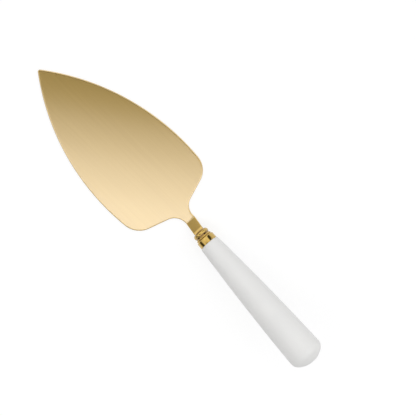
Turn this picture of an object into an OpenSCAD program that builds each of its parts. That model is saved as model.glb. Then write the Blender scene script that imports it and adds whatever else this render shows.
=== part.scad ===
// Cake server: a cranked gold-finished steel blade, a turned brass ferrule and a hollow porcelain handle.
// The blade lies flat on Z = 0. X runs back from the tip to the handle, and X = 0 is the blade's widest line.

/* [Blade] */
// Thickness of the steel sheet
sheet_t = 1.6; // [1.2:0.1:2]
// Width of the blade across its widest line
blade_w = 71; // [64:1:78]
// Length from the widest line forward to the point of the two side arcs
tip_l = 102; // [90:1:115]
// Radius that rounds the tip
tip_r = 1.5; // [0.5:0.1:3]
// Radius of the two rear shoulders
shoulder_r = 15; // [12:0.5:17]
// Distance from the widest line back to the centres of the shoulders
shoulder_l = 13.5; // [9:0.5:18]
// Sweep of the two rear edges towards the handle, in degrees
rear_sweep = 18; // [12:1:22]
// Radius of the fillets between the rear edges and the neck
fillet_r = 10; // [7:0.5:11]

/* [Neck and tang] */
// Width of the neck
neck_w = 7.6; // [6.5:0.1:7.7]
// Flat run between the ends of the fillets and the crease
crease_run = 1.4; // [0.8:0.1:4]
// Length of the neck from the crease to its second bend
neck_l = 9.7; // [8:0.1:14]
// Rise of the neck above the blade, in degrees
neck_rise = 40.5; // [36:0.5:44]
// Radius of both bends, at the middle of the sheet
bend_r = 1.6; // [1.2:0.1:2.4]
// Width of the tang
tang_w = 5; // [4:0.1:6]
// Length of the tang behind the handle's mouth
tang_l = 56; // [40:1:66]
// Diameter of the holes that key the tang into the cement
key_hole_d = 2.4; // [1.6:0.1:2.8]
// Number of those holes, spread evenly along the tang
key_hole_count = 3; // [1:1:4]

/* [Ferrule] */
// Diameter of the skirt that covers the handle's mouth
skirt_d = 13.4; // [12.8:0.1:13.7]
// Length of the skirt
skirt_l = 4.8; // [4:0.1:6]
// Radius that rounds the skirt's front shoulder
skirt_round_r = 0.9; // [0.6:0.1:1.6]
// Diameter of the small ring in front of the skirt
ring_d = 11.9; // [11.6:0.1:12.2]
// Length of the small ring
ring_l = 1.4; // [1.2:0.1:1.8]
// Diameter at the bottom of the groove
groove_d = 10.5; // [10.2:0.1:10.8]
// Length of the groove between ring and bead
groove_l = 0.2; // [0.2:0.1:1]
// Diameter of the front bead
bead_d = 11.6; // [11.2:0.1:12.2]
// Length of the front bead
bead_l = 3.9; // [3.4:0.1:4.4]
// Thickness of the front wall that the neck passes through
front_wall_t = 2; // [1.5:0.1:2.2]
// Distance of the neck's second bend in front of the ferrule's front face
bend_lead = 1.5; // [1:0.1:2.5]
// Diameter of the bore behind the front wall
bore_d = 8.2; // [8:0.1:8.4]
// Diameter of the spigot that enters the handle
spigot_d = 10; // [9.6:0.1:10.4]
// Length of the spigot
spigot_l = 4; // [3:0.5:8]

/* [Handle] */
// Rise of the handle above the blade, in degrees
handle_rise = 18.5; // [14:0.5:22]
// Length of the handle from its mouth to the end of the butt
handle_l = 105.8; // [95:0.2:120]
// Diameter at the mouth
mouth_d = 14.1; // [13.8:0.1:15.5]
// Radius that rounds the lip of the mouth
lip_r = 0.7; // [0.4:0.1:1.2]
// Diameter at the widest place, near the butt
butt_d = 24.4; // [22:0.1:27]
// Distance from the widest place to the end of the butt
butt_l = 8.4; // [7.6:0.1:10]
// Radius of the corner between the long side and the butt's crown
butt_corner_r = 6.5; // [5.5:0.1:7]
// Radius of the slight arc of the long side
side_arc_r = 1800; // [1200:50:3000]
// Wall thickness of the porcelain shell
wall_t = 3.6; // [3.4:0.1:4.2]

/* [Cement] */
// Length of cement behind the end of the tang
cement_cover_l = 4; // [2:0.5:12]

/* [Hidden] */

// Clearance between pieces that fit inside each other
fit_gap = 0.05;
// Overrun of every cut past the face that it leaves
cut_over = 1;
// Number of segments of a small circle
small_fn = 96;
// Number of segments of a long arc's full circle
long_fn = 1440;
// Number of steps along a bend, a corner or a crown
corner_steps = 10;
// Number of steps along the handle's long side
side_steps = 24;
$fn = small_fn;

// Blade plan: tangent arcs, worked out for the half with positive Y
half_w = blade_w / 2;
side_r = (tip_l * tip_l + half_w * half_w) / blade_w;
side_y = half_w - side_r;
tip_x = -sqrt(pow(side_r - tip_r, 2) - side_y * side_y);
tip_cut_x = tip_x * side_r / (side_r - tip_r);
shoulder_y = side_y + sqrt(pow(side_r - shoulder_r, 2) - shoulder_l * shoulder_l);
shoulder_start = [shoulder_l, shoulder_y - side_y] * side_r / (side_r - shoulder_r) + [0, side_y];
rear_normal = [cos(rear_sweep), sin(rear_sweep)];
rear_along = [sin(rear_sweep), -cos(rear_sweep)];
shoulder_end = [shoulder_l, shoulder_y] + shoulder_r * rear_normal;
fillet_y = neck_w / 2 + fillet_r;
rear_edge_l = (shoulder_end[1] + fillet_r * rear_normal[1] - fillet_y) / cos(rear_sweep);
fillet_start = shoulder_end + rear_edge_l * rear_along;
fillet_x = fillet_start[0] + fillet_r * rear_normal[0];
rear_half = [shoulder_start, [shoulder_l, shoulder_y], shoulder_end, fillet_start, [fillet_x, fillet_y]];
crease_x = fillet_x + crease_run;

// Side view: the corners of the middle of the sheet at the crease and at the second bend
crease_z = sheet_t / 2;
bend_x = crease_x + neck_l * cos(neck_rise);
bend_z = crease_z + neck_l * sin(neck_rise);
neck_turn = neck_rise - handle_rise;
neck_dir = [cos(neck_rise), sin(neck_rise)];
crease_c = [crease_x - bend_r * tan(neck_rise / 2), crease_z + bend_r];
bend_c = [bend_x, bend_z] - bend_r * tan(neck_turn / 2) * neck_dir + bend_r * [neck_dir[1], -neck_dir[0]];

// Ferrule: places along the handle's axis, forward of the mouth
ring_z = -(skirt_l + ring_l / 2);
bead_z = -(skirt_l + ring_l + groove_l + bead_l / 2);
ferrule_l = skirt_l + ring_l + groove_l + bead_l;
bead_round_r = bead_l / 2;
mouth_run = ferrule_l + bend_lead;
handle_dir = [cos(handle_rise), sin(handle_rise)];
mouth_x = bend_x + mouth_run * handle_dir[0];
mouth_z = bend_z + mouth_run * handle_dir[1];
wall_end_z = front_wall_t - ferrule_l;
neck_end_x = mouth_x + wall_end_z * handle_dir[0];
tang_run = mouth_run + tang_l;
tang_end = [bend_x, bend_z] + tang_run * handle_dir;
key_hole_pitch = tang_l / (key_hole_count + 1);

// Handle outline: the long side's arc passes the mouth and is tangent to the butt's corner
mouth_r = mouth_d / 2;
corner_c = [butt_d / 2 - butt_corner_r, handle_l - butt_l];
mouth_to_corner = corner_c - [mouth_r, 0];
mouth_to_corner_l = norm(mouth_to_corner);
side_foot_l = (2 * side_arc_r * butt_corner_r - butt_corner_r * butt_corner_r
    + mouth_to_corner_l * mouth_to_corner_l) / (2 * mouth_to_corner_l);
side_away_l = sqrt(side_arc_r * side_arc_r - side_foot_l * side_foot_l);
side_dir = mouth_to_corner / mouth_to_corner_l;
side_c = [mouth_r, 0] + side_foot_l * side_dir + side_away_l * [-side_dir[1], side_dir[0]];
crown_r = (corner_c[0] * corner_c[0] + butt_l * butt_l - butt_corner_r * butt_corner_r)
    / (2 * (butt_l - butt_corner_r));
crown_c = [0, handle_l - crown_r];
lip_c = [side_c[0] + sqrt(pow(side_arc_r - lip_r, 2) - pow(lip_r - side_c[1], 2)), lip_r];
lip_touch = heading(side_c, lip_c);
side_touch = heading(side_c, corner_c);
crown_touch = heading(crown_c, corner_c);
cement_l = tang_l + cement_cover_l;

// Points along an arc about a centre, between two angles
function arc(centre, r, from, to, steps) =
    [for (i = [0:steps]) let (a = from + (to - from) * i / steps) centre + r * [cos(a), sin(a)]];

// Angle of the line from one point to another
function heading(from, to) = atan2(to[1] - from[1], to[0] - from[0]);

// Line along the bent strip in side view, a distance above the middle of the sheet and past the tang's end
function side_line(above, past) = concat(
    [[-tip_l, crease_z + above]],
    arc(crease_c, bend_r - above, -90, neck_rise - 90, corner_steps),
    arc(bend_c, bend_r + above, neck_rise + 90, handle_rise + 90, corner_steps),
    [tang_end + past * handle_dir + above * [-handle_dir[1], handle_dir[0]]]
);

// Points of a list in the opposite order
function backwards(points) = [for (i = [1:len(points)]) points[len(points) - i]];

// Side view of the whole bent strip: flat blade, crease, neck, second bend and tang
module strip_side(grow = 0) {
    half_t = sheet_t / 2 + grow;
    polygon(concat(side_line(-half_t, grow), backwards(side_line(half_t, grow))));
}

// Plan of the flat blade: side arcs, rounded tip, shoulders, swept rear edges and fillets
module blade_plan() {
    intersection() {
        translate([0, side_y]) circle(r = side_r, $fn = long_fn);
        translate([0, -side_y]) circle(r = side_r, $fn = long_fn);
        translate([tip_cut_x, -half_w]) square([shoulder_start[0] - tip_cut_x, blade_w]);
    }
    translate([tip_x, 0]) circle(r = tip_r);
    for (side = [1, -1]) translate([shoulder_l, side * shoulder_y]) circle(r = shoulder_r);
    difference() {
        polygon(concat(rear_half, [for (p = backwards(rear_half)) [p[0], -p[1]]]));
        for (side = [1, -1]) translate([fillet_x, side * fillet_y]) circle(r = fillet_r);
    }
}

// Plan of the neck, which ends behind the ferrule's front wall, and of the narrower tang behind it
module strip_plan(grow = 0) {
    translate([fillet_x, -neck_w / 2 - grow]) square([neck_end_x - fillet_x + grow, neck_w + 2 * grow]);
    translate([neck_end_x, -tang_w / 2 - grow]) square([tang_run, tang_w + 2 * grow]);
}

// Moves a shape to the handle's axis: Z runs from the mouth towards the butt
module on_handle_axis() {
    translate([mouth_x, 0, mouth_z]) rotate([0, 90 - handle_rise, 0]) children();
}

// Holes through the tang that the cement grips
module key_holes(d) {
    for (i = [1:key_hole_count]) on_handle_axis()
        translate([0, 0, i * key_hole_pitch]) rotate([0, 90, 0])
            cylinder(d = d, h = sheet_t + 2 * cut_over, center = true);
}

// Solid of the strip behind the fillets, grown for the space that it takes up
module neck_and_tang(grow = 0) {
    intersection() {
        rotate([90, 0, 0]) linear_extrude(height = neck_w + 2 * cut_over, center = true) strip_side(grow);
        translate([0, 0, -cut_over]) linear_extrude(height = mouth_z + tang_l) strip_plan(grow);
    }
}

module blade() {
    color("goldenrod") difference() {
        union() {
            linear_extrude(height = sheet_t) blade_plan();
            neck_and_tang();
        }
        key_holes(key_hole_d);
    }
}

// Half section of the turned ferrule, without its bore
module ferrule_section() {
    skirt_r = skirt_d / 2;
    translate([0, -ferrule_l]) square([bead_d / 2 - bead_round_r, ferrule_l]);
    translate([0, bead_z]) square([groove_d / 2, -bead_z]);
    translate([bead_d / 2 - bead_round_r, bead_z]) circle(r = bead_round_r);
    translate([ring_d / 2 - ring_l / 2, ring_z]) circle(d = ring_l);
    translate([0, skirt_round_r - skirt_l]) square([skirt_r, skirt_l - skirt_round_r]);
    translate([0, -skirt_l]) square([skirt_r - skirt_round_r, skirt_l]);
    translate([skirt_r - skirt_round_r, skirt_round_r - skirt_l]) circle(r = skirt_round_r);
    square([spigot_d / 2, spigot_l]);
}

module ferrule() {
    slot_t = sheet_t + 2 * fit_gap;
    slot_w = neck_w + 2 * fit_gap;
    color("gold") on_handle_axis() difference() {
        rotate_extrude() ferrule_section();
        translate([0, 0, wall_end_z]) cylinder(d = bore_d, h = ferrule_l + spigot_l);
        translate([-slot_t / 2, -slot_w / 2, -ferrule_l - cut_over])
            cube([slot_t, slot_w, front_wall_t + 2 * cut_over]);
    }
}

// Line from the mouth to the pole of the butt: long side, corner and crown, drawn in evenly by the inset
function handle_line(inset, from) = concat(
    arc(side_c, side_arc_r - inset, from, side_touch, side_steps),
    arc(corner_c, butt_corner_r - inset, side_touch, crown_touch, corner_steps),
    arc(crown_c, crown_r - inset, crown_touch, 90, corner_steps)
);

// Half section of the handle's outer form with its rounded lip
module handle_section() {
    polygon(concat([[0, 0]], arc(lip_c, lip_r, -90, lip_touch, corner_steps), handle_line(0, lip_touch)));
}

// Half section of a form inside the handle, at an even distance from its outer face
module inner_section(inset) {
    polygon(concat([[0, 0]], handle_line(inset, asin(-side_c[1] / (side_arc_r - inset)))));
}

// Half section of the hollow: the spigot's seat and the cavity behind it
module cavity_section() {
    square([spigot_d / 2 + fit_gap, spigot_l + fit_gap]);
    inner_section(wall_t);
}

module handle() {
    color("white") on_handle_axis() rotate_extrude() difference() {
        handle_section();
        cavity_section();
    }
}

// Half section of the cement: it fills the ferrule's bore and the front of the cavity
module cement_section() {
    translate([0, wall_end_z + fit_gap])
        square([bore_d / 2 - fit_gap, ferrule_l - front_wall_t + spigot_l]);
    intersection() {
        inner_section(wall_t + fit_gap);
        translate([0, spigot_l + fit_gap]) square([butt_d, cement_l - spigot_l - fit_gap]);
    }
}

module cement_fill() {
    color("lightgrey") difference() {
        on_handle_axis() rotate_extrude() cement_section();
        difference() {
            neck_and_tang(fit_gap);
            key_holes(key_hole_d - 2 * fit_gap);
        }
    }
}

blade();
ferrule();
handle();
cement_fill();
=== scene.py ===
"""Cake server: a gold blade, a turned brass ferrule and a porcelain handle, dressed round its CAD frame."""

import math

import bpy
from bpy.props import FloatProperty, FloatVectorProperty, IntProperty, PointerProperty
from bpy.types import Operator, Panel, PropertyGroup
from mathutils import Matrix, Vector


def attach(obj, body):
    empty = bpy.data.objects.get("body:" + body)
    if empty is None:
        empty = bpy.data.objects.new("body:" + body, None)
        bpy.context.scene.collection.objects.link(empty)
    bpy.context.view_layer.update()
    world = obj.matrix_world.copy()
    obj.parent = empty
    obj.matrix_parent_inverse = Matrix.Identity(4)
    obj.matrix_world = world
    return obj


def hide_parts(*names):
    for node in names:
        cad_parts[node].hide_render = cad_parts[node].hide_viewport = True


bl_info = {
    "name": "Cake Server",
    "version": (1, 0, 0),
    "blender": (4, 5, 0),
    "location": "View3D > Sidebar > Cake Server",
    "description": "Models the blade, ferrule and handle of a cake server and sets its stage",
    "category": "Object",
}

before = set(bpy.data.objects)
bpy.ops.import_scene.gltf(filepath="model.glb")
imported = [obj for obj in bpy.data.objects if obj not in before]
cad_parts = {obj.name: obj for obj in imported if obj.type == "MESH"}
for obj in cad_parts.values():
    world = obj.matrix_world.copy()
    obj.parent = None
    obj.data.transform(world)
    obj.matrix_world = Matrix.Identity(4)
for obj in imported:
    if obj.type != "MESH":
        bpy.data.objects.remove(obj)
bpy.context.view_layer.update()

BODY = "root"
MM = 0.001
# Vertices closer than this are one vertex
WELD = 0.001 * MM
# Overrun of a cutter past the face that it opens
CUT_OVER = 1 * MM
# Faces that meet at less than this angle are shaded as one surface
SMOOTH_ANGLE = math.radians(35)
# Edges that are sharper than this are softened
RIM_ANGLE = math.radians(45)
# A face with more corners than this is one of the two broad faces of the blade
BROAD_CORNERS = 60
# Steps of the blade's arcs and bends
TIP_STEPS, SIDE_STEPS, SHOULDER_STEPS, FILLET_STEPS, BEND_STEPS = 10, 72, 28, 22, 8
# Steps round the turned pieces, and of the arcs in their half sections
LATHE_STEPS, BEAD_STEPS, ROUND_STEPS, LONG_STEPS, BUTT_STEPS, CROWN_STEPS = 128, 18, 8, 28, 16, 14
# Steps of the rim's rounding and of the key holes
RIM_STEPS, HOLE_STEPS = 4, 32
# Gap between the blade's underside and the floor
FLOOR_GAP = 0.02 * MM
# Width of the camera's sensor in millimetres
SENSOR_W = 36.0
# The way to the middle of the dark patch of the ceiling
DARK_CEILING = (0.05, -0.25, 0.967)
# The middle of the object, which the panels face
PANEL_AIM = Vector((0.045, 0.0, 0.0))
# Strips of the overhead panel: name, near and far edge in metres from the origin, part of its brightness
OVERHEAD_STRIPS = (("panel_near", 0.20, 0.25, 0.37), ("panel_fade", 0.25, 0.30, 0.69),
                   ("panel_overhead", 0.30, 0.40, 1.0), ("panel_far", 0.40, 0.55, 0.38))
# Parts of the studio: between which two values of the unit vector's X, Y or Z each of them fades
FAR_WALL_X, BACK_WALL_X = (-0.92, -0.65), (0.5, 0.9)
FLAG_FRONT_X, FLAG_REAR_X, FLAG_SIDE_Y = (-0.46, -0.38), (-0.20, -0.12), (0.62, 0.72)
WALLS_Y, SWEEP_TOP_Z = (-0.8, 0.8), (0.13, 0.22)
# Between which two cosines from its middle the dark patch of the ceiling fades in
DARK_CEILING_EDGE = (0.88, 0.95)
# Lines that a tool leaves: stretch of the noise along X, Y and Z, its scale and its contrast
BRUSH_LINES = {"Stretch": (14.0, 1000.0, 300.0), "Scale": 1.1, "Contrast": 1.6}
BRUSH_STREAKS = {"Stretch": (10.0, 170.0, 60.0), "Scale": 2.0, "Contrast": 2.2}
TURNING_LINES = {"Stretch": (1000.0, 8.0, 8.0), "Scale": 8.0, "Contrast": 1.4}
# Clouds of wear, glaze and grain: scale of the noise and, for the glaze's pull, its limits
BRASS_WEAR, GLAZE_CLOUDS, CEMENT_GRAIN = {"Scale": 160.0}, {"Scale": 45.0}, {"Scale": 900.0}
GLAZE_PULL = {"Scale": 190.0, "Low": 0.2, "High": 0.8}
# Detail and roughness of the two kinds of noise, and the value that noise lies about
LINE_NOISE, CLOUD_NOISE = {"Detail": 3.0, "Roughness": 0.6}, {"Detail": 4.0, "Roughness": 0.55}
NOISE_MIDDLE = 0.5
# Roughness of each finish at its smoothest and its roughest places
GOLD_ROUGHNESS, BRASS_ROUGHNESS = (0.28, 0.31), (0.10, 0.17)
GLAZE_ROUGHNESS, CEMENT_ROUGHNESS = (0.40, 0.48), (0.85, 0.95)
# Height of each finish's marks
BRUSH_HEIGHT, TURNING_HEIGHT, GLAZE_HEIGHT, GRAIN_HEIGHT = 0.002 * MM, 0.0005 * MM, 0.02 * MM, 0.1 * MM
# Lacquer on the metals, the share of it that the neck keeps, and the run over which it thins out there
BLADE_LACQUER = {"Coat Roughness": 0.12, "Coat IOR": 2.6}
BRASS_LACQUER = {"Coat Weight": 1.0, "Coat Roughness": 0.06, "Coat IOR": 1.6}
NECK_LACQUER_SHARE = 0.2
LACQUER_RUN = 1.2 * MM
# Height above the grooves' bottom up to which painted shade darkens the brass
GROOVE_SHADE_HEIGHT = 0.5 * MM


def length(name, description, millimetres):
    """A property for a length, given in millimetres."""
    return FloatProperty(name=name, description=description, default=millimetres * MM, min=0.0,
                         unit="LENGTH", subtype="DISTANCE", precision=5)


def angle(name, description, degrees):
    """A property for an angle, given in degrees."""
    return FloatProperty(name=name, description=description, default=math.radians(degrees),
                         unit="ROTATION", subtype="ANGLE")


def colour(name, description, value):
    """A property for a colour in linear light."""
    return FloatVectorProperty(name=name, description=description, default=value, min=0.0, max=1.0,
                               size=3, subtype="COLOR")


def place(name, description, value):
    """A property for a place in the frame, in metres."""
    return FloatVectorProperty(name=name, description=description, default=value, size=3,
                               unit="LENGTH", subtype="TRANSLATION", precision=4)


def share(name, description, value, top=1.0):
    """A property for a plain factor."""
    return FloatProperty(name=name, description=description, default=value, min=0.0, max=top,
                         subtype="FACTOR")


class BladeSizes(PropertyGroup):
    """Sizes of the sheet that is blade, neck and tang in one."""

    sheet_t: length("Sheet", "Thickness of the steel sheet", 1.6)
    width: length("Width", "Width across the widest line", 71)
    tip_l: length("Tip length", "Length from the widest line to the point of the two side arcs", 102)
    tip_r: length("Tip radius", "Radius that rounds the tip", 1.5)
    shoulder_r: length("Shoulder radius", "Radius of the two rear shoulders", 15)
    shoulder_l: length("Shoulder place", "Distance from the widest line to the shoulders' centres", 13.5)
    rear_sweep: angle("Rear sweep", "Sweep of the two rear edges towards the handle", 18)
    fillet_r: length("Fillet radius", "Radius between the rear edges and the neck", 10)
    neck_w: length("Neck width", "Width of the neck", 7.6)
    crease_run: length("Crease run", "Flat run between the fillets and the crease", 1.4)
    neck_l: length("Neck length", "Length from the crease to the second bend", 9.7)
    neck_rise: angle("Neck rise", "Rise of the neck above the blade", 40.5)
    bend_r: length("Bend radius", "Radius of both bends at the middle of the sheet", 1.6)
    tang_w: length("Tang width", "Width of the tang", 5)
    tang_l: length("Tang length", "Length of the tang behind the handle's mouth", 56)
    tang_taper: length("Tang taper", "Run over which the neck narrows to the tang", 1.2)
    key_hole_d: length("Key hole", "Diameter of the holes that key the tang", 2.4)
    key_holes: IntProperty(name="Key holes", description="Number of holes along the tang", default=3, min=0)
    rim_round: length("Rim rounding", "Rounding of the sheet's rim", 0.5)
    rim_blend: length("Rim blend", "Width over which the rounding runs out on the broad faces", 0.5)


class FerruleSizes(PropertyGroup):
    """Sizes of the turned collar between neck and handle."""

    skirt_d: length("Skirt", "Diameter of the skirt", 13.4)
    skirt_l: length("Skirt length", "Length of the skirt", 4.8)
    skirt_round_r: length("Skirt rounding", "Radius of the skirt's front shoulder", 0.9)
    ring_d: length("Ring", "Diameter of the small ring", 11.9)
    ring_l: length("Ring length", "Length of the small ring", 1.4)
    groove_d: length("Groove", "Diameter at the bottom of the groove", 10.5)
    groove_l: length("Groove length", "Length of the groove between ring and bead", 0.2)
    bead_d: length("Bead", "Diameter of the front bead", 11.6)
    bead_l: length("Bead length", "Length of the front bead", 3.9)
    front_wall_t: length("Front wall", "Thickness of the wall that the neck passes through", 2)
    bend_lead: length("Bend lead", "Distance of the neck's second bend in front of the front face", 1.5)
    bore_d: length("Bore", "Diameter of the bore", 8.2)
    spigot_d: length("Spigot", "Diameter of the spigot inside the handle", 10)
    spigot_l: length("Spigot length", "Length of the spigot", 4)
    edge_r: length("Edge", "Radius that breaks the skirt's rear edge", 0.12)
    slot_gap: length("Slot gap", "Clearance of the slot round the neck", 0.05)


class HandleSizes(PropertyGroup):
    """Sizes of the porcelain shell."""

    rise: angle("Rise", "Rise of the handle above the blade", 18.5)
    long_l: length("Length", "Length from the mouth to the end of the butt", 105.8)
    mouth_d: length("Mouth", "Diameter at the mouth", 14.1)
    lip_r: length("Lip radius", "Radius of the lip at the mouth", 0.7)
    butt_d: length("Butt", "Diameter at the widest place", 24.4)
    butt_l: length("Butt length", "Distance from the widest place to the end", 8.4)
    butt_corner_r: length("Butt corner", "Radius between the long side and the crown", 6.5)
    side_arc_r: length("Side arc", "Radius of the slight arc of the long side", 1800)
    wall_t: length("Wall", "Thickness of the porcelain", 3.6)
    seat_gap: length("Seat gap", "Clearance round the spigot", 0.05)


class FinishColours(PropertyGroup):
    """Colours of the finishes."""

    gold: colour("Gold", "Satin gold of the blade", (0.69, 0.46, 0.120))
    gold_deep: colour("Deep gold", "Gold inside the brush lines", (0.64, 0.42, 0.106))
    brass: colour("Brass", "Polished brass of the ferrule", (0.58, 0.38, 0.070))
    brass_deep: colour("Deep brass", "Brass inside the turning lines", (0.50, 0.315, 0.052))
    # Painted shade: a dark brown laid into the ferrule's grooves and front face
    brass_groove_shade: colour("Tarnish", "Painted shade that darkens the brass in its grooves", (0.24, 0.128, 0.02))
    porcelain: colour("Porcelain", "White of the handle", (0.83, 0.826, 0.812))
    porcelain_cool: colour("Cool porcelain", "White where the glaze lies thicker", (0.81, 0.808, 0.797))
    cement: colour("Cement", "Grey of the bonding cement", (0.60, 0.58, 0.55))
    cement_dark: colour("Dark cement", "Grey of the coarse grains", (0.42, 0.40, 0.38))
    floor: colour("Floor", "Pale floor", (0.66, 0.66, 0.66))


class StageSettings(PropertyGroup):
    """Camera, lamps and surroundings."""

    camera_at: place("Camera", "Where the camera stands", (-0.157505, 0.262024, 1.131597))
    camera_aim: place("Aim", "Point on the floor that the camera looks at", (0.045387, 0.014351, 0.0))
    camera_roll: angle("Roll", "Turn of the camera about its line of sight", -173.535)
    camera_lens: FloatProperty(name="Lens", description="Focal length for a sensor of 36 mm", default=150.0,
                               min=1.0, unit="CAMERA")
    floor_size: length("Floor size", "Side of the floor", 12000)
    floor_share: share("Floor shading", "Share of the floor's look that takes shadow", 0.28)
    floor_glow: share("Floor glow", "Share of the floor's look that is plain white", 0.76)
    overhead_turn: angle("Overhead turn", "Way to the overhead panel, seen from above", -53.93)
    overhead_z: length("Overhead height", "Height of the overhead panel", 1000)
    overhead_w: length("Overhead width", "Width of the overhead panel", 1200)
    overhead_level: share("Overhead level", "Brightness of the overhead panel", 2.14, 10.0)
    tip_at: place("Tip panel", "Where the panel beyond the tip hangs", (-0.756, -0.292, 0.914))
    tip_w: length("Tip panel width", "Width of the panel beyond the tip", 1600)
    tip_h: length("Tip panel height", "Height of the panel beyond the tip", 900)
    tip_level: share("Tip level", "Brightness of the panel beyond the tip", 0.4, 10.0)
    sweep_level: share("Sweep level", "Brightness of the paper sweep at the horizon", 0.7, 10.0)
    left_level: share("Left level", "Brightness of the walls left of the handle in the picture", 0.61, 10.0)
    right_level: share("Right level", "Brightness of the walls right of the handle in the picture", 1.37, 10.0)
    ceiling_level: share("Ceiling level", "Brightness of the ceiling round the overhead panel", 0.03, 10.0)
    flag_share: share("Flag share", "Share of the walls' brightness that the two dark flags keep", 0.05)
    far_share: share("Far share", "Share of the walls' brightness at the wall beyond the tip", 0.46)
    back_share: share("Back share", "Share of the walls' brightness at the wall behind the handle", 0.58)


class CakeServerSettings(PropertyGroup):
    """Everything that a user may change."""

    blade: PointerProperty(type=BladeSizes, name="Blade", description="Sizes of blade, neck and tang")
    ferrule: PointerProperty(type=FerruleSizes, name="Ferrule", description="Sizes of the ferrule")
    handle: PointerProperty(type=HandleSizes, name="Handle", description="Sizes of the handle")
    finish: PointerProperty(type=FinishColours, name="Finish", description="Colours of the finishes")
    stage: PointerProperty(type=StageSettings, name="Stage", description="Camera, lamps and surroundings")


def settings():
    """The scene's cake server settings."""
    return bpy.context.scene.cake_server


def direction(turn):
    """Unit vector at an angle in a plane."""
    return Vector((math.cos(turn), math.sin(turn)))


def heading(start, end):
    """Angle of the line from one point of a plane to another."""
    way = end - start
    return math.atan2(way.y, way.x)


def neck_places():
    """Side view of the sheet: the flat's end, the bends' centres, the straight runs and the mouth."""
    blade, ferrule, handle = settings().blade, settings().ferrule, settings().handle
    plan = blade_plan()
    turn = blade.neck_rise - handle.rise
    crease_back = blade.bend_r * math.tan(blade.neck_rise / 2)
    bend_back = blade.bend_r * math.tan(turn / 2)
    crease = Vector((plan["fillet"].x + blade.crease_run, blade.sheet_t / 2))
    neck_way, handle_way = direction(blade.neck_rise), direction(handle.rise)
    bend = crease + blade.neck_l * neck_way
    ferrule_l = ferrule.skirt_l + ferrule.ring_l + ferrule.groove_l + ferrule.bead_l
    mouth_run = ferrule_l + ferrule.bend_lead
    wall_run = ferrule.bend_lead + ferrule.front_wall_t
    return {
        "fold_x": crease.x - crease_back,
        "crease_centre": Vector((crease.x - crease_back, blade.sheet_t / 2 + blade.bend_r)),
        "bend_centre": bend - bend_back * neck_way + blade.bend_r * Vector((neck_way.y, -neck_way.x)),
        "turn": turn,
        "neck_way": neck_way,
        "handle_way": handle_way,
        "neck_run": blade.neck_l - crease_back - bend_back,
        "slot_run": wall_run - blade.tang_taper - bend_back,
        "tang_run": mouth_run + blade.tang_l - wall_run,
        "mouth": bend + mouth_run * handle_way,
        "ferrule_l": ferrule_l,
    }


def blade_plan():
    """Plan of the blade: centres and angles of the tangent arcs on the side with positive Y."""
    blade = settings().blade
    half_w = blade.width / 2
    side_r = (blade.tip_l ** 2 + half_w ** 2) / blade.width
    side = Vector((0.0, half_w - side_r))
    tip = Vector((-math.sqrt((side_r - blade.tip_r) ** 2 - side.y ** 2), 0.0))
    shoulder_rise = math.sqrt((side_r - blade.shoulder_r) ** 2 - blade.shoulder_l ** 2)
    shoulder = Vector((blade.shoulder_l, side.y + shoulder_rise))
    rear_end = shoulder + blade.shoulder_r * direction(blade.rear_sweep)
    fillet_y = blade.neck_w / 2 + blade.fillet_r
    rear_drop = rear_end.y + blade.fillet_r * math.sin(blade.rear_sweep) - fillet_y
    rear_l = rear_drop / math.cos(blade.rear_sweep)
    fillet_start = rear_end + rear_l * Vector((math.sin(blade.rear_sweep), -math.cos(blade.rear_sweep)))
    return {
        "side": side,
        "tip": tip,
        "shoulder": shoulder,
        "fillet_start": fillet_start,
        "fillet": fillet_start + blade.fillet_r * direction(blade.rear_sweep),
        "tip_touch": heading(side, tip),
        "shoulder_touch": heading(side, shoulder),
    }


def handle_outline():
    """Half section of the handle: centres and angles of its tangent arcs, with the mouth at the origin."""
    handle = settings().handle
    mouth = Vector((handle.mouth_d / 2, 0.0))
    corner = Vector((handle.butt_d / 2 - handle.butt_corner_r, handle.long_l - handle.butt_l))
    way = corner - mouth
    chord, r, big = way.length, handle.butt_corner_r, handle.side_arc_r
    foot = (2 * big * r - r * r + chord * chord) / (2 * chord)
    away = math.sqrt(big * big - foot * foot)
    along = way / chord
    side = mouth + foot * along + away * Vector((-along.y, along.x))
    crown_r = (corner.x ** 2 + handle.butt_l ** 2 - r * r) / (2 * (handle.butt_l - r))
    crown = Vector((0.0, handle.long_l - crown_r))
    lip_out = math.sqrt((big - handle.lip_r) ** 2 - (handle.lip_r - side.y) ** 2)
    lip = Vector((side.x + lip_out, handle.lip_r))
    return {
        "side": side,
        "corner": corner,
        "crown": crown,
        "lip": lip,
        "lip_touch": heading(side, lip),
        "side_touch": heading(side, corner),
        "crown_touch": heading(crown, corner),
    }


def leave_edit_mode():
    """Goes back to object mode with nothing selected."""
    if bpy.context.mode != "OBJECT":
        bpy.ops.object.mode_set(mode="OBJECT")
    bpy.ops.object.select_all(action="DESELECT")


def pick(piece):
    """Makes a piece the only selected object, and the active one."""
    leave_edit_mode()
    piece.select_set(True)
    bpy.context.view_layer.objects.active = piece


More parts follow.
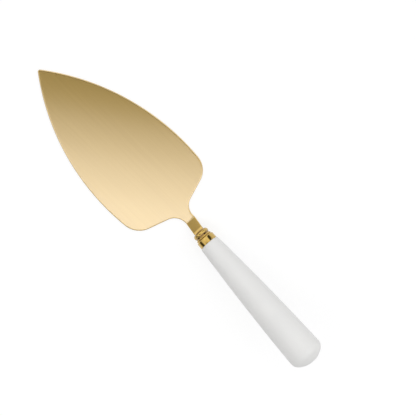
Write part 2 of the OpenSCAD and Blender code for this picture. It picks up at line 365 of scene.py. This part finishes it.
class DrawnLine:
    """A line that is drawn in edit mode, point by point and arc by arc, from one vertex."""

    def __init__(self, name, start, flat_z=None):
        self.flat_z = flat_z
        self.here = start.copy()
        leave_edit_mode()
        bpy.ops.mesh.primitive_plane_add(size=MM, location=self.lifted(start))
        self.piece = bpy.context.object
        self.piece.name = self.piece.data.name = name
        bpy.ops.object.transform_apply(location=True, rotation=True, scale=True)
        bpy.ops.object.mode_set(mode="EDIT")
        bpy.ops.mesh.select_mode(type="VERT")
        bpy.ops.mesh.select_all(action="SELECT")
        bpy.ops.mesh.merge(type="CENTER")

    def lifted(self, point):
        """A point of the drawing as a place: flat at a height, or upright in the half plane of a lathe."""
        if self.flat_z is None:
            return Vector((point.x, 0.0, point.y))
        return Vector((point.x, point.y, self.flat_z))

    def to(self, point):
        """Draws a straight edge."""
        step = self.lifted(point) - self.lifted(self.here)
        bpy.ops.mesh.extrude_region_move(TRANSFORM_OT_translate={"value": step})
        self.here = point.copy()

    def onto_axis(self):
        """Sets the line's end exactly on the axis of the lathe."""
        bpy.ops.transform.resize(value=(0.0, 1.0, 1.0), center_override=(0.0, 0.0, 0.0))

    def arc(self, centre, start, end, steps):
        """Draws an arc about a centre, from one angle to another."""
        axis = (0, 1, 0) if self.flat_z is None else (0, 0, -1)
        bpy.ops.mesh.spin(steps=steps, angle=end - start, center=self.lifted(centre), axis=axis)
        self.here = centre + Matrix.Rotation(end - start, 2) @ (self.here - centre)


def weld():
    """Merges doubles and turns all faces outwards, in edit mode."""
    bpy.ops.mesh.select_all(action="SELECT")
    bpy.ops.mesh.remove_doubles(threshold=WELD)
    bpy.ops.mesh.normals_make_consistent(inside=False)


def lathe(line):
    """Turns a drawn half section about its axis into a closed solid."""
    bpy.ops.mesh.select_all(action="SELECT")
    bpy.ops.mesh.spin(steps=LATHE_STEPS, angle=math.tau, center=(0, 0, 0), axis=(0, 0, 1))
    weld()
    leave_edit_mode()
    return line.piece


def set_on_handle_axis(piece):
    """Moves a turned piece from the origin to the handle's axis and mouth."""
    mouth = neck_places()["mouth"]
    pick(piece)
    piece.rotation_euler = (0.0, math.pi / 2 - settings().handle.rise, 0.0)
    piece.location = (mouth.x, 0.0, mouth.y)
    bpy.ops.object.transform_apply(location=True, rotation=True, scale=True)


def apply_modifier(piece, kind, **values):
    """Adds a modifier with these values and applies it."""
    pick(piece)
    modifier = piece.modifiers.new(kind.title(), kind)
    for key, value in values.items():
        setattr(modifier, key, value)
    bpy.ops.object.modifier_apply(modifier=modifier.name)


def cut_away(piece, cutter):
    """Cuts a cutter's volume out of a piece and removes the cutter."""
    apply_modifier(piece, "BOOLEAN", operation="DIFFERENCE", object=cutter, solver="EXACT")
    bpy.data.objects.remove(cutter)


def select_faces(piece, chosen):
    """Selects the faces that a test picks, and goes to edit mode."""
    pick(piece)
    bpy.ops.object.mode_set(mode="EDIT")
    bpy.ops.mesh.select_mode(type="FACE")
    bpy.ops.mesh.select_all(action="DESELECT")
    bpy.ops.object.mode_set(mode="OBJECT")
    for face in piece.data.polygons:
        face.select = chosen(face)
    bpy.ops.object.mode_set(mode="EDIT")


def finish_piece(piece, node, material):
    """Shades a piece, gives it its material and lets it stand for its CAD node."""
    pick(piece)
    bpy.ops.object.shade_smooth_by_angle(angle=SMOOTH_ANGLE)
    piece.data.materials.clear()
    piece.data.materials.append(material)
    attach(piece, BODY)
    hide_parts(node)


class Nodes:
    """A short way to add shader nodes to one tree. Each value is a plain one or another node's output."""

    def __init__(self, tree):
        self.tree = tree

    def add(self, kind, **values):
        """Adds a node and sets its own values and, by socket name, its inputs."""
        node = self.tree.nodes.new(kind)
        for key, value in values.items():
            if hasattr(node, key):
                setattr(node, key, value)
            else:
                self.feed(value, node.inputs[key])
        return node

    def feed(self, value, target):
        """Gives an input its value."""
        if isinstance(value, bpy.types.NodeSocket):
            self.tree.links.new(value, target)
        else:
            target.default_value = value

    def work_out(self, kind, operation, values):
        """Adds a node that works on values in the order of its inputs."""
        node = self.add(kind, operation=operation)
        for value, target in zip(values, node.inputs):
            self.feed(value, target)
        return node

    def number(self, operation, *values):
        """A sum, product or the like of numbers."""
        return self.work_out("ShaderNodeMath", operation, values).outputs["Value"]

    def vector(self, operation, *values):
        """A product or the like of vectors."""
        return self.work_out("ShaderNodeVectorMath", operation, values).outputs["Vector"]

    def measure(self, operation, *values):
        """A length or the like of vectors."""
        return self.work_out("ShaderNodeVectorMath", operation, values).outputs["Value"]

    def fade(self, value, limits, low=0.0, high=1.0):
        """A smooth step from low to high while a value goes from one limit to the other."""
        node = self.add("ShaderNodeMapRange", interpolation_type="SMOOTHSTEP", Value=value,
                        **{"From Min": limits[0], "From Max": limits[1], "To Min": low, "To Max": high})
        return node.outputs["Result"]

    def blend(self, factor, first, second):
        """A number that goes from the first to the second by a factor."""
        node = self.add("ShaderNodeMix", data_type="FLOAT", Factor=factor, A=first, B=second)
        return node.outputs["Result"]


def new_group(name, inputs, outputs):
    """A shader node group with named sockets: lists of name, socket type and default."""
    tree = bpy.data.node_groups.new(name, "ShaderNodeTree")
    for title, kind, default in inputs:
        socket = tree.interface.new_socket(name=title, in_out="INPUT", socket_type=kind)
        if default is not None:
            socket.default_value = default
    for title, kind in outputs:
        tree.interface.new_socket(name=title, in_out="OUTPUT", socket_type=kind)
    nodes = Nodes(tree)
    return tree, nodes, nodes.add("NodeGroupInput").outputs, nodes.add("NodeGroupOutput").inputs


def tool_lines_group():
    """Fine parallel lines that a belt or a lathe tool leaves: stretched noise, as a mask from 0 to 1."""
    name = "Tool lines"
    if name in bpy.data.node_groups:
        return bpy.data.node_groups[name]
    tree, nodes, given, result = new_group(
        name,
        [("Vector", "NodeSocketVector", None), ("Stretch", "NodeSocketVector", (1, 1, 1)),
         ("Scale", "NodeSocketFloat", 1.0), ("Contrast", "NodeSocketFloat", 1.0)],
        [("Mask", "NodeSocketFloat"), ("Height", "NodeSocketFloat")])
    stretched = nodes.vector("MULTIPLY", given["Vector"], given["Stretch"])
    texture = nodes.add("ShaderNodeTexNoise", Vector=stretched, Scale=given["Scale"], **LINE_NOISE)
    noise = texture.outputs["Fac"]
    centred = nodes.number("SUBTRACT", noise, NOISE_MIDDLE)
    mask = nodes.number("MULTIPLY_ADD", centred, given["Contrast"], NOISE_MIDDLE)
    mask.node.use_clamp = True
    nodes.feed(mask, result["Mask"])
    nodes.feed(noise, result["Height"])
    return tree


def handling_group():
    """Broad soft clouds of wear and glaze thickness, as a mask from 0 to 1."""
    name = "Handling"
    if name in bpy.data.node_groups:
        return bpy.data.node_groups[name]
    tree, nodes, given, result = new_group(
        name,
        [("Vector", "NodeSocketVector", None), ("Scale", "NodeSocketFloat", 1.0),
         ("Low", "NodeSocketFloat", 0.35), ("High", "NodeSocketFloat", 0.65)],
        [("Mask", "NodeSocketFloat")])
    noise = nodes.add("ShaderNodeTexNoise", Vector=given["Vector"], Scale=given["Scale"], **CLOUD_NOISE)
    nodes.feed(nodes.fade(noise.outputs["Fac"], (given["Low"], given["High"])), result["Mask"])
    return tree


def groove_shade_group():
    """How deep a place lies in the grooves of a piece that is turned about X, as a mask from 0 to 1, for
    painted shade in the grooves.
    """
    name = "Tarnish"
    if name in bpy.data.node_groups:
        return bpy.data.node_groups[name]
    tree, nodes, given, result = new_group(
        name,
        [("Vector", "NodeSocketVector", None), ("Bottom", "NodeSocketFloat", 0.0),
         ("Height", "NodeSocketFloat", 1.0)],
        [("Mask", "NodeSocketFloat")])
    radius = nodes.measure("LENGTH", nodes.vector("MULTIPLY", given["Vector"], (0.0, 1.0, 1.0)))
    top = nodes.number("ADD", given["Bottom"], given["Height"])
    nodes.feed(nodes.fade(radius, (given["Bottom"], top), 1.0, 0.0), result["Mask"])
    return tree


def bare_material(name):
    """A material with an empty node tree, and its nodes."""
    material = bpy.data.materials.new(name)
    material.use_nodes = True
    material.node_tree.nodes.clear()
    return material, Nodes(material.node_tree)


def new_material(name, **values):
    """A material with a Principled shader that has these values, and Object coordinates."""
    material, nodes = bare_material(name)
    shader = nodes.add("ShaderNodeBsdfPrincipled", **values)
    nodes.add("ShaderNodeOutputMaterial", Surface=shader.outputs["BSDF"])
    return material, nodes, shader.inputs, nodes.add("ShaderNodeTexCoord").outputs["Object"]


def effect(nodes, tree, vector, **values):
    """Places a node group in a material with its own values."""
    return nodes.add("ShaderNodeGroup", node_tree=tree, Vector=vector, **values).outputs


def two_colours(nodes, mask, first, second):
    """A colour that goes from the first to the second by a mask, each a colour or an output."""
    ends = [end if isinstance(end, bpy.types.NodeSocket) else (*end, 1.0) for end in (first, second)]
    return nodes.add("ShaderNodeMix", data_type="RGBA", Factor=mask, A=ends[0], B=ends[1]).outputs["Result"]


def varied(nodes, mask, limits):
    """A value that goes from one limit to the other by a mask."""
    return nodes.add("ShaderNodeMapRange", Value=mask,
                     **{"To Min": limits[0], "To Max": limits[1]}).outputs["Result"]


def raised(nodes, marks, height):
    """The normal of a surface that marks raise by up to a height."""
    return nodes.add("ShaderNodeBump", Height=marks, Distance=height).outputs["Normal"]


def satin_gold():
    """Belt-brushed gold with fine lines along it, under a clear lacquer that thins out at the neck."""
    finish, neck_start = settings().finish, neck_places()["fold_x"]
    material, nodes, shader, place_on = new_material("satin_gold", Metallic=1.0, **BLADE_LACQUER)
    lines = effect(nodes, tool_lines_group(), place_on, **BRUSH_LINES)
    streaks = effect(nodes, tool_lines_group(), place_on, **BRUSH_STREAKS)
    along = nodes.add("ShaderNodeSeparateXYZ", Vector=place_on).outputs["X"]
    lacquer = nodes.fade(along, (neck_start, neck_start + LACQUER_RUN), 1.0, NECK_LACQUER_SHARE)
    nodes.feed(two_colours(nodes, lines["Mask"], finish.gold, finish.gold_deep), shader["Base Color"])
    nodes.feed(varied(nodes, streaks["Mask"], GOLD_ROUGHNESS), shader["Roughness"])
    nodes.feed(lacquer, shader["Coat Weight"])
    nodes.feed(raised(nodes, lines["Height"], BRUSH_HEIGHT), shader["Normal"])
    return material


def polished_brass():
    """Polished brass with faint turning lines round the handle's axis, and painted shade that darkens its
    grooves and front face.
    """
    finish, mouth = settings().finish, neck_places()["mouth"]
    groove_r = settings().ferrule.groove_d / 2
    material, nodes, shader, place_on = new_material("polished_brass", Metallic=1.0, **BRASS_LACQUER)
    turned = nodes.add("ShaderNodeMapping", vector_type="TEXTURE", Vector=place_on,
                       Location=(mouth.x, 0.0, mouth.y), Rotation=(0.0, -settings().handle.rise, 0.0))
    axis = turned.outputs["Vector"]
    lines = effect(nodes, tool_lines_group(), axis, **TURNING_LINES)
    wear = effect(nodes, handling_group(), place_on, **BRASS_WEAR)
    # Painted shade: brass below the grooves' radius, in the grooves and on the front face, turns dark brown
    groove_shade = effect(nodes, groove_shade_group(), axis, Bottom=groove_r, Height=GROOVE_SHADE_HEIGHT)
    bright = two_colours(nodes, lines["Mask"], finish.brass, finish.brass_deep)
    nodes.feed(two_colours(nodes, groove_shade["Mask"], bright, finish.brass_groove_shade), shader["Base Color"])
    nodes.feed(varied(nodes, wear["Mask"], BRASS_ROUGHNESS), shader["Roughness"])
    nodes.feed(raised(nodes, lines["Height"], TURNING_HEIGHT), shader["Normal"])
    return material


def white_porcelain():
    """Satin white glaze with slight clouds in its tone and thickness."""
    finish = settings().finish
    material, nodes, shader, place_on = new_material("white_porcelain")
    clouds = effect(nodes, handling_group(), place_on, **GLAZE_CLOUDS)
    pull = effect(nodes, handling_group(), place_on, **GLAZE_PULL)
    white = two_colours(nodes, clouds["Mask"], finish.porcelain, finish.porcelain_cool)
    nodes.feed(white, shader["Base Color"])
    nodes.feed(varied(nodes, clouds["Mask"], GLAZE_ROUGHNESS), shader["Roughness"])
    nodes.feed(raised(nodes, pull["Mask"], GLAZE_HEIGHT), shader["Normal"])
    return material


def bonding_cement():
    """Matte grey cement with coarse grains."""
    finish = settings().finish
    material, nodes, shader, place_on = new_material("bonding_cement")
    grain = effect(nodes, handling_group(), place_on, **CEMENT_GRAIN)
    nodes.feed(two_colours(nodes, grain["Mask"], finish.cement, finish.cement_dark), shader["Base Color"])
    nodes.feed(varied(nodes, grain["Mask"], CEMENT_ROUGHNESS), shader["Roughness"])
    nodes.feed(raised(nodes, grain["Mask"], GRAIN_HEIGHT), shader["Normal"])
    return material


class CAKESERVER_OT_blade(Operator):
    """Draws the leaf-shaped sheet, bends its neck and tang, and softens its rim"""

    bl_idname = "cake_server.blade"
    bl_label = "Blade"

    def execute(self, context):
        sizes, plan, neck = settings().blade, blade_plan(), neck_places()
        half_neck = sizes.neck_w / 2
        line = DrawnLine("blade_sheet", plan["tip"] - Vector((sizes.tip_r, 0.0)), flat_z=sizes.sheet_t / 2)
        line.arc(plan["tip"], math.pi, plan["tip_touch"], TIP_STEPS)
        line.arc(plan["side"], plan["tip_touch"], plan["shoulder_touch"], SIDE_STEPS)
        line.arc(plan["shoulder"], plan["shoulder_touch"], sizes.rear_sweep, SHOULDER_STEPS)
        line.to(plan["fillet_start"])
        line.arc(plan["fillet"], math.pi + sizes.rear_sweep, 1.5 * math.pi, FILLET_STEPS)
        line.to(Vector((neck["fold_x"], half_neck)))
        line.to(Vector((neck["fold_x"], 0.0)))
        piece = line.piece
        apply_modifier(piece, "MIRROR", use_axis=(False, True, False), merge_threshold=WELD)
        self.fill_and_bend(piece, sizes, neck)
        apply_modifier(piece, "SOLIDIFY", thickness=sizes.sheet_t, offset=0.0, use_even_offset=True)
        bpy.ops.object.mode_set(mode="EDIT")
        weld()
        apply_modifier(piece, "BEVEL", width=sizes.rim_round, segments=RIM_STEPS, limit_method="ANGLE",
                       angle_limit=RIM_ANGLE, use_clamp_overlap=False)
        select_faces(piece, lambda face: len(face.vertices) > BROAD_CORNERS)
        bpy.ops.mesh.inset(thickness=sizes.rim_blend, depth=0.0, use_even_offset=True)
        leave_edit_mode()
        self.key_holes(piece, sizes, neck)
        finish_piece(piece, "blade", satin_gold())
        return {"FINISHED"}

    def fill_and_bend(self, piece, sizes, neck):
        """Fills the outline and pulls the strip out of its rear edge, bend by bend."""
        pick(piece)
        bpy.ops.object.mode_set(mode="EDIT")
        bpy.ops.mesh.select_mode(type="EDGE")
        bpy.ops.mesh.select_all(action="SELECT")
        bpy.ops.mesh.edge_face_add()
        bpy.ops.mesh.select_all(action="DESELECT")
        bpy.ops.object.mode_set(mode="OBJECT")
        places = [vertex.co for vertex in piece.data.vertices]
        for edge in piece.data.edges:
            edge.select = all(abs(places[i].x - neck["fold_x"]) < WELD for i in edge.vertices)
        bpy.ops.object.mode_set(mode="EDIT")
        self.bend(neck["crease_centre"], sizes.neck_rise)
        self.pull(neck["neck_way"], neck["neck_run"])
        self.bend(neck["bend_centre"], -neck["turn"])
        self.pull(neck["handle_way"], neck["slot_run"])
        self.pull(neck["handle_way"], sizes.tang_taper)
        bpy.ops.transform.resize(value=(1.0, sizes.tang_w / sizes.neck_w, 1.0))
        self.pull(neck["handle_way"], neck["tang_run"])
        leave_edit_mode()

    @staticmethod
    def bend(centre, turn):
        """Turns the selected edge about a bend's centre and leaves the bent sheet behind it."""
        bpy.ops.mesh.spin(steps=BEND_STEPS, angle=turn, center=(centre.x, 0.0, centre.y), axis=(0, 1, 0))

    @staticmethod
    def pull(way, run):
        """Pulls the selected edge straight on."""
        bpy.ops.mesh.extrude_region_move(TRANSFORM_OT_translate={"value": (run * way.x, 0.0, run * way.y)})

    @staticmethod
    def key_holes(piece, sizes, neck):
        """Drills the holes of the tang."""
        for i in range(sizes.key_holes):
            along = neck["mouth"] + sizes.tang_l * (i + 1) / (sizes.key_holes + 1) * neck["handle_way"]
            leave_edit_mode()
            bpy.ops.mesh.primitive_cylinder_add(vertices=HOLE_STEPS, radius=sizes.key_hole_d / 2,
                                                depth=sizes.sheet_t + 2 * CUT_OVER,
                                                location=(along.x, 0.0, along.y),
                                                rotation=(0.0, -settings().handle.rise, 0.0))
            cut_away(piece, bpy.context.object)


class CAKESERVER_OT_ferrule(Operator):
    """Turns the collar from its half section and cuts the slot for the neck"""

    bl_idname = "cake_server.ferrule"
    bl_label = "Ferrule"

    def execute(self, context):
        sizes, neck = settings().ferrule, neck_places()
        full = neck["ferrule_l"]
        bead_r = sizes.bead_l / 2
        bead = Vector((sizes.bead_d / 2 - bead_r, bead_r - full))
        ring_r = sizes.ring_l / 2
        ring = Vector((sizes.ring_d / 2 - ring_r, -sizes.skirt_l - ring_r))
        skirt_r, round_r, edge_r = sizes.skirt_d / 2, sizes.skirt_round_r, sizes.edge_r
        shoulder = Vector((skirt_r - round_r, round_r - sizes.skirt_l))
        groove_r, bore_r, spigot_r = sizes.groove_d / 2, sizes.bore_d / 2, sizes.spigot_d / 2
        bead_end = math.acos((groove_r - bead.x) / bead_r)
        ring_start = -math.acos((groove_r - ring.x) / ring_r)
        line = DrawnLine("ferrule_turning", Vector((0.0, -full)))
        line.to(Vector((bead.x, -full)))
        line.arc(bead, -math.pi / 2, bead_end, BEAD_STEPS)
        line.to(ring + ring_r * direction(ring_start))
        line.arc(ring, ring_start, math.pi / 2, BEAD_STEPS)
        line.to(Vector((shoulder.x, -sizes.skirt_l)))
        line.arc(shoulder, -math.pi / 2, 0.0, ROUND_STEPS)
        line.to(Vector((skirt_r, -edge_r)))
        line.arc(Vector((skirt_r - edge_r, -edge_r)), 0.0, math.pi / 2, ROUND_STEPS)
        for r, along in ((spigot_r, 0.0), (spigot_r, sizes.spigot_l), (bore_r, sizes.spigot_l),
                         (bore_r, sizes.front_wall_t - full), (0.0, sizes.front_wall_t - full)):
            line.to(Vector((r, along)))
        piece = lathe(line)
        self.slot(piece, sizes, full)
        set_on_handle_axis(piece)
        finish_piece(piece, "ferrule", polished_brass())
        return {"FINISHED"}

    @staticmethod
    def slot(piece, sizes, full):
        """Cuts the slot in the front wall that the neck passes through."""
        blade = settings().blade
        leave_edit_mode()
        bpy.ops.mesh.primitive_cube_add(size=1.0, location=(0.0, 0.0, sizes.front_wall_t / 2 - full),
                                        scale=(blade.sheet_t + 2 * sizes.slot_gap,
                                               blade.neck_w + 2 * sizes.slot_gap,
                                               sizes.front_wall_t + 2 * CUT_OVER))
        cut_away(piece, bpy.context.object)


class CAKESERVER_OT_handle(Operator):
    """Turns the porcelain shell from its half section: crown, butt, long side, lip, seat and hollow"""

    bl_idname = "cake_server.handle"
    bl_label = "Handle"

    def execute(self, context):
        sizes, ferrule, form = settings().handle, settings().ferrule, handle_outline()
        wall, side, corner, crown = sizes.wall_t, form["side"], form["corner"], form["crown"]
        seat_r = ferrule.spigot_d / 2 + sizes.seat_gap
        seat_l = ferrule.spigot_l + sizes.seat_gap
        line = DrawnLine("handle_shell", Vector((0.0, sizes.long_l)))
        line.arc(crown, math.pi / 2, form["crown_touch"], CROWN_STEPS)
        line.arc(corner, form["crown_touch"], form["side_touch"], BUTT_STEPS)
        line.arc(side, form["side_touch"], form["lip_touch"], LONG_STEPS)
        line.arc(form["lip"], form["lip_touch"], -math.pi / 2, ROUND_STEPS)
        line.to(Vector((seat_r, 0.0)))
        line.to(Vector((seat_r, seat_l)))
        inner_start = math.asin((seat_l - side.y) / (sizes.side_arc_r - wall))
        line.to(side + (sizes.side_arc_r - wall) * direction(inner_start))
        line.arc(side, inner_start, form["side_touch"], LONG_STEPS)
        line.arc(corner, form["side_touch"], form["crown_touch"], BUTT_STEPS)
        line.arc(crown, form["crown_touch"], math.pi / 2, CROWN_STEPS)
        line.onto_axis()
        piece = lathe(line)
        set_on_handle_axis(piece)
        finish_piece(piece, "handle", white_porcelain())
        return {"FINISHED"}


class CAKESERVER_OT_cement(Operator):
    """Gives the hidden bonding cement its finish"""

    bl_idname = "cake_server.cement"
    bl_label = "Cement"

    def execute(self, context):
        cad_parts["cement_fill"].material_slots[0].material = bonding_cement()
        return {"FINISHED"}


class CAKESERVER_OT_stage(Operator):
    """Sets the camera, the pale floor, the soft panels and the studio round them"""

    bl_idname = "cake_server.stage"
    bl_label = "Stage"

    def execute(self, context):
        stage = settings().stage
        context.scene.view_settings.view_transform = "Standard"
        self.camera(context, stage)
        self.floor(stage)
        self.studio(context, stage)
        self.overhead(stage)
        self.panel("panel_tip", stage.tip_at, (stage.tip_w, stage.tip_h), stage.tip_level)
        return {"FINISHED"}

    @staticmethod
    def camera(context, stage):
        """Sets the camera at its place, aimed and rolled."""
        sight = (Vector(stage.camera_aim) - Vector(stage.camera_at)).normalized()
        level = sight.cross(Vector((0.0, 0.0, 1.0))).normalized()
        upright = level.cross(sight)
        turn = stage.camera_roll
        right = math.cos(turn) * level + math.sin(turn) * upright
        up = math.cos(turn) * upright - math.sin(turn) * level
        lens = bpy.data.cameras.new("camera")
        lens.lens = stage.camera_lens
        lens.sensor_width = SENSOR_W
        camera = bpy.data.objects.new("camera", lens)
        turned = Matrix((right, up, -sight)).transposed().to_4x4()
        camera.matrix_world = Matrix.Translation(stage.camera_at) @ turned
        context.scene.collection.objects.link(camera)
        context.scene.camera = camera

    @staticmethod
    def floor(stage):
        """Lays the floor, which is white to the eye and in reflections and takes the object's shadow."""
        leave_edit_mode()
        bpy.ops.mesh.primitive_plane_add(size=stage.floor_size, location=(0.0, 0.0, -FLOOR_GAP))
        floor = bpy.context.object
        floor.name = "floor"
        material, nodes = bare_material("pale_floor")
        pale = nodes.add("ShaderNodeBsdfDiffuse", Color=(*settings().finish.floor, 1.0))
        shaded = nodes.add("ShaderNodeBsdfDiffuse", Color=(*[stage.floor_share] * 3, 1.0))
        glow = nodes.add("ShaderNodeEmission", Strength=stage.floor_glow)
        white = nodes.add("ShaderNodeAddShader")
        nodes.feed(shaded.outputs["BSDF"], white.inputs[0])
        nodes.feed(glow.outputs["Emission"], white.inputs[1])
        path = nodes.add("ShaderNodeLightPath").outputs
        seen = nodes.number("MAXIMUM", path["Is Camera Ray"], path["Is Glossy Ray"])
        seen = nodes.number("MAXIMUM", seen, path["Is Transmission Ray"])
        mix = nodes.add("ShaderNodeMixShader", Fac=seen)
        nodes.feed(pale.outputs["BSDF"], mix.inputs[1])
        nodes.feed(white.outputs["Shader"], mix.inputs[2])
        nodes.add("ShaderNodeOutputMaterial", Surface=mix.outputs["Shader"])
        floor.data.materials.append(material)

    @staticmethod
    def studio(context, stage):
        """Surrounds the stage with a paper sweep, bright walls, two dark flags and a dark ceiling."""
        world = bpy.data.worlds.new("studio")
        world.use_nodes = True
        nodes = Nodes(world.node_tree)
        way = nodes.add("ShaderNodeTexCoord").outputs["Generated"]
        x, y, z = nodes.add("ShaderNodeSeparateXYZ", Vector=way).outputs
        beyond = nodes.number("MULTIPLY", nodes.fade(x, FLAG_FRONT_X), nodes.fade(x, FLAG_REAR_X, 1.0, 0.0))
        flags = nodes.number("MULTIPLY", nodes.fade(nodes.number("ABSOLUTE", y), FLAG_SIDE_Y), beyond)
        ends = nodes.number("MULTIPLY", nodes.fade(x, FAR_WALL_X, stage.far_share, 1.0),
                            nodes.fade(x, BACK_WALL_X, 1.0, stage.back_share))
        walls = nodes.number("MULTIPLY", nodes.fade(y, WALLS_Y, stage.left_level, stage.right_level), ends)
        flagged = nodes.number("MULTIPLY", walls, nodes.blend(flags, 1.0, stage.flag_share))
        dark = nodes.fade(nodes.measure("DOT_PRODUCT", way, DARK_CEILING), DARK_CEILING_EDGE)
        room = nodes.blend(dark, flagged, stage.ceiling_level)
        background = world.node_tree.nodes["Background"].inputs
        background["Color"].default_value = (1.0, 1.0, 1.0, 1.0)
        nodes.feed(nodes.blend(nodes.fade(z, SWEEP_TOP_Z), stage.sweep_level, room), background["Strength"])
        context.scene.world = world

    def overhead(self, stage):
        """Hangs a level panel towards the picture's foot, in strips that are dimmer at its long edges."""
        way = direction(stage.overhead_turn)
        for name, near, far, part in OVERHEAD_STRIPS:
            middle = (near + far) / 2 * way
            panel = self.panel(name, (middle.x, middle.y, stage.overhead_z), (far - near, stage.overhead_w),
                               part * stage.overhead_level)
            panel.rotation_euler = (0.0, 0.0, stage.overhead_turn)

    @staticmethod
    def panel(name, at, size, level):
        """Hangs a soft panel with a plain brightness all over, which faces the middle of the object."""
        lamp = bpy.data.lights.new(name, "AREA")
        lamp.shape = "RECTANGLE"
        lamp.size, lamp.size_y = size
        lamp.energy = level * math.pi * size[0] * size[1]
        panel = bpy.data.objects.new(name, lamp)
        panel.location = at
        panel.rotation_euler = (PANEL_AIM - Vector(at)).to_track_quat("-Z", "Y").to_euler()
        panel.visible_camera = False
        bpy.context.scene.collection.objects.link(panel)
        return panel


class CAKESERVER_PT_sidebar(Panel):
    """Lists the operators and settings of the cake server"""

    bl_idname = "CAKESERVER_PT_sidebar"
    bl_label = "Cake Server"
    bl_space_type = "VIEW_3D"
    bl_region_type = "UI"
    bl_category = "Cake Server"

    def draw(self, context):
        layout = self.layout
        for operator in OPERATORS:
            layout.operator(operator.bl_idname)
        for group in ("blade", "ferrule", "handle", "finish", "stage"):
            box = layout.box()
            box.label(text=group.title())
            values = getattr(settings(), group)
            for key in values.__annotations__:
                box.prop(values, key)


GROUPS = (BladeSizes, FerruleSizes, HandleSizes, FinishColours, StageSettings, CakeServerSettings)
OPERATORS = (CAKESERVER_OT_stage, CAKESERVER_OT_blade, CAKESERVER_OT_ferrule, CAKESERVER_OT_handle,
             CAKESERVER_OT_cement)
CLASSES = (*GROUPS, *OPERATORS, CAKESERVER_PT_sidebar)


def register():
    """Registers the classes and the scene's settings."""
    for cls in CLASSES:
        bpy.utils.register_class(cls)
    bpy.types.Scene.cake_server = PointerProperty(type=CakeServerSettings)


def unregister():
    """Removes the settings and the classes."""
    del bpy.types.Scene.cake_server
    for cls in reversed(CLASSES):
        bpy.utils.unregister_class(cls)


def main():
    """Builds the stage and the pieces."""
    register()
    bpy.ops.cake_server.stage()
    bpy.ops.cake_server.blade()
    bpy.ops.cake_server.ferrule()
    bpy.ops.cake_server.handle()
    bpy.ops.cake_server.cement()


if __name__ == "__main__":
    main()
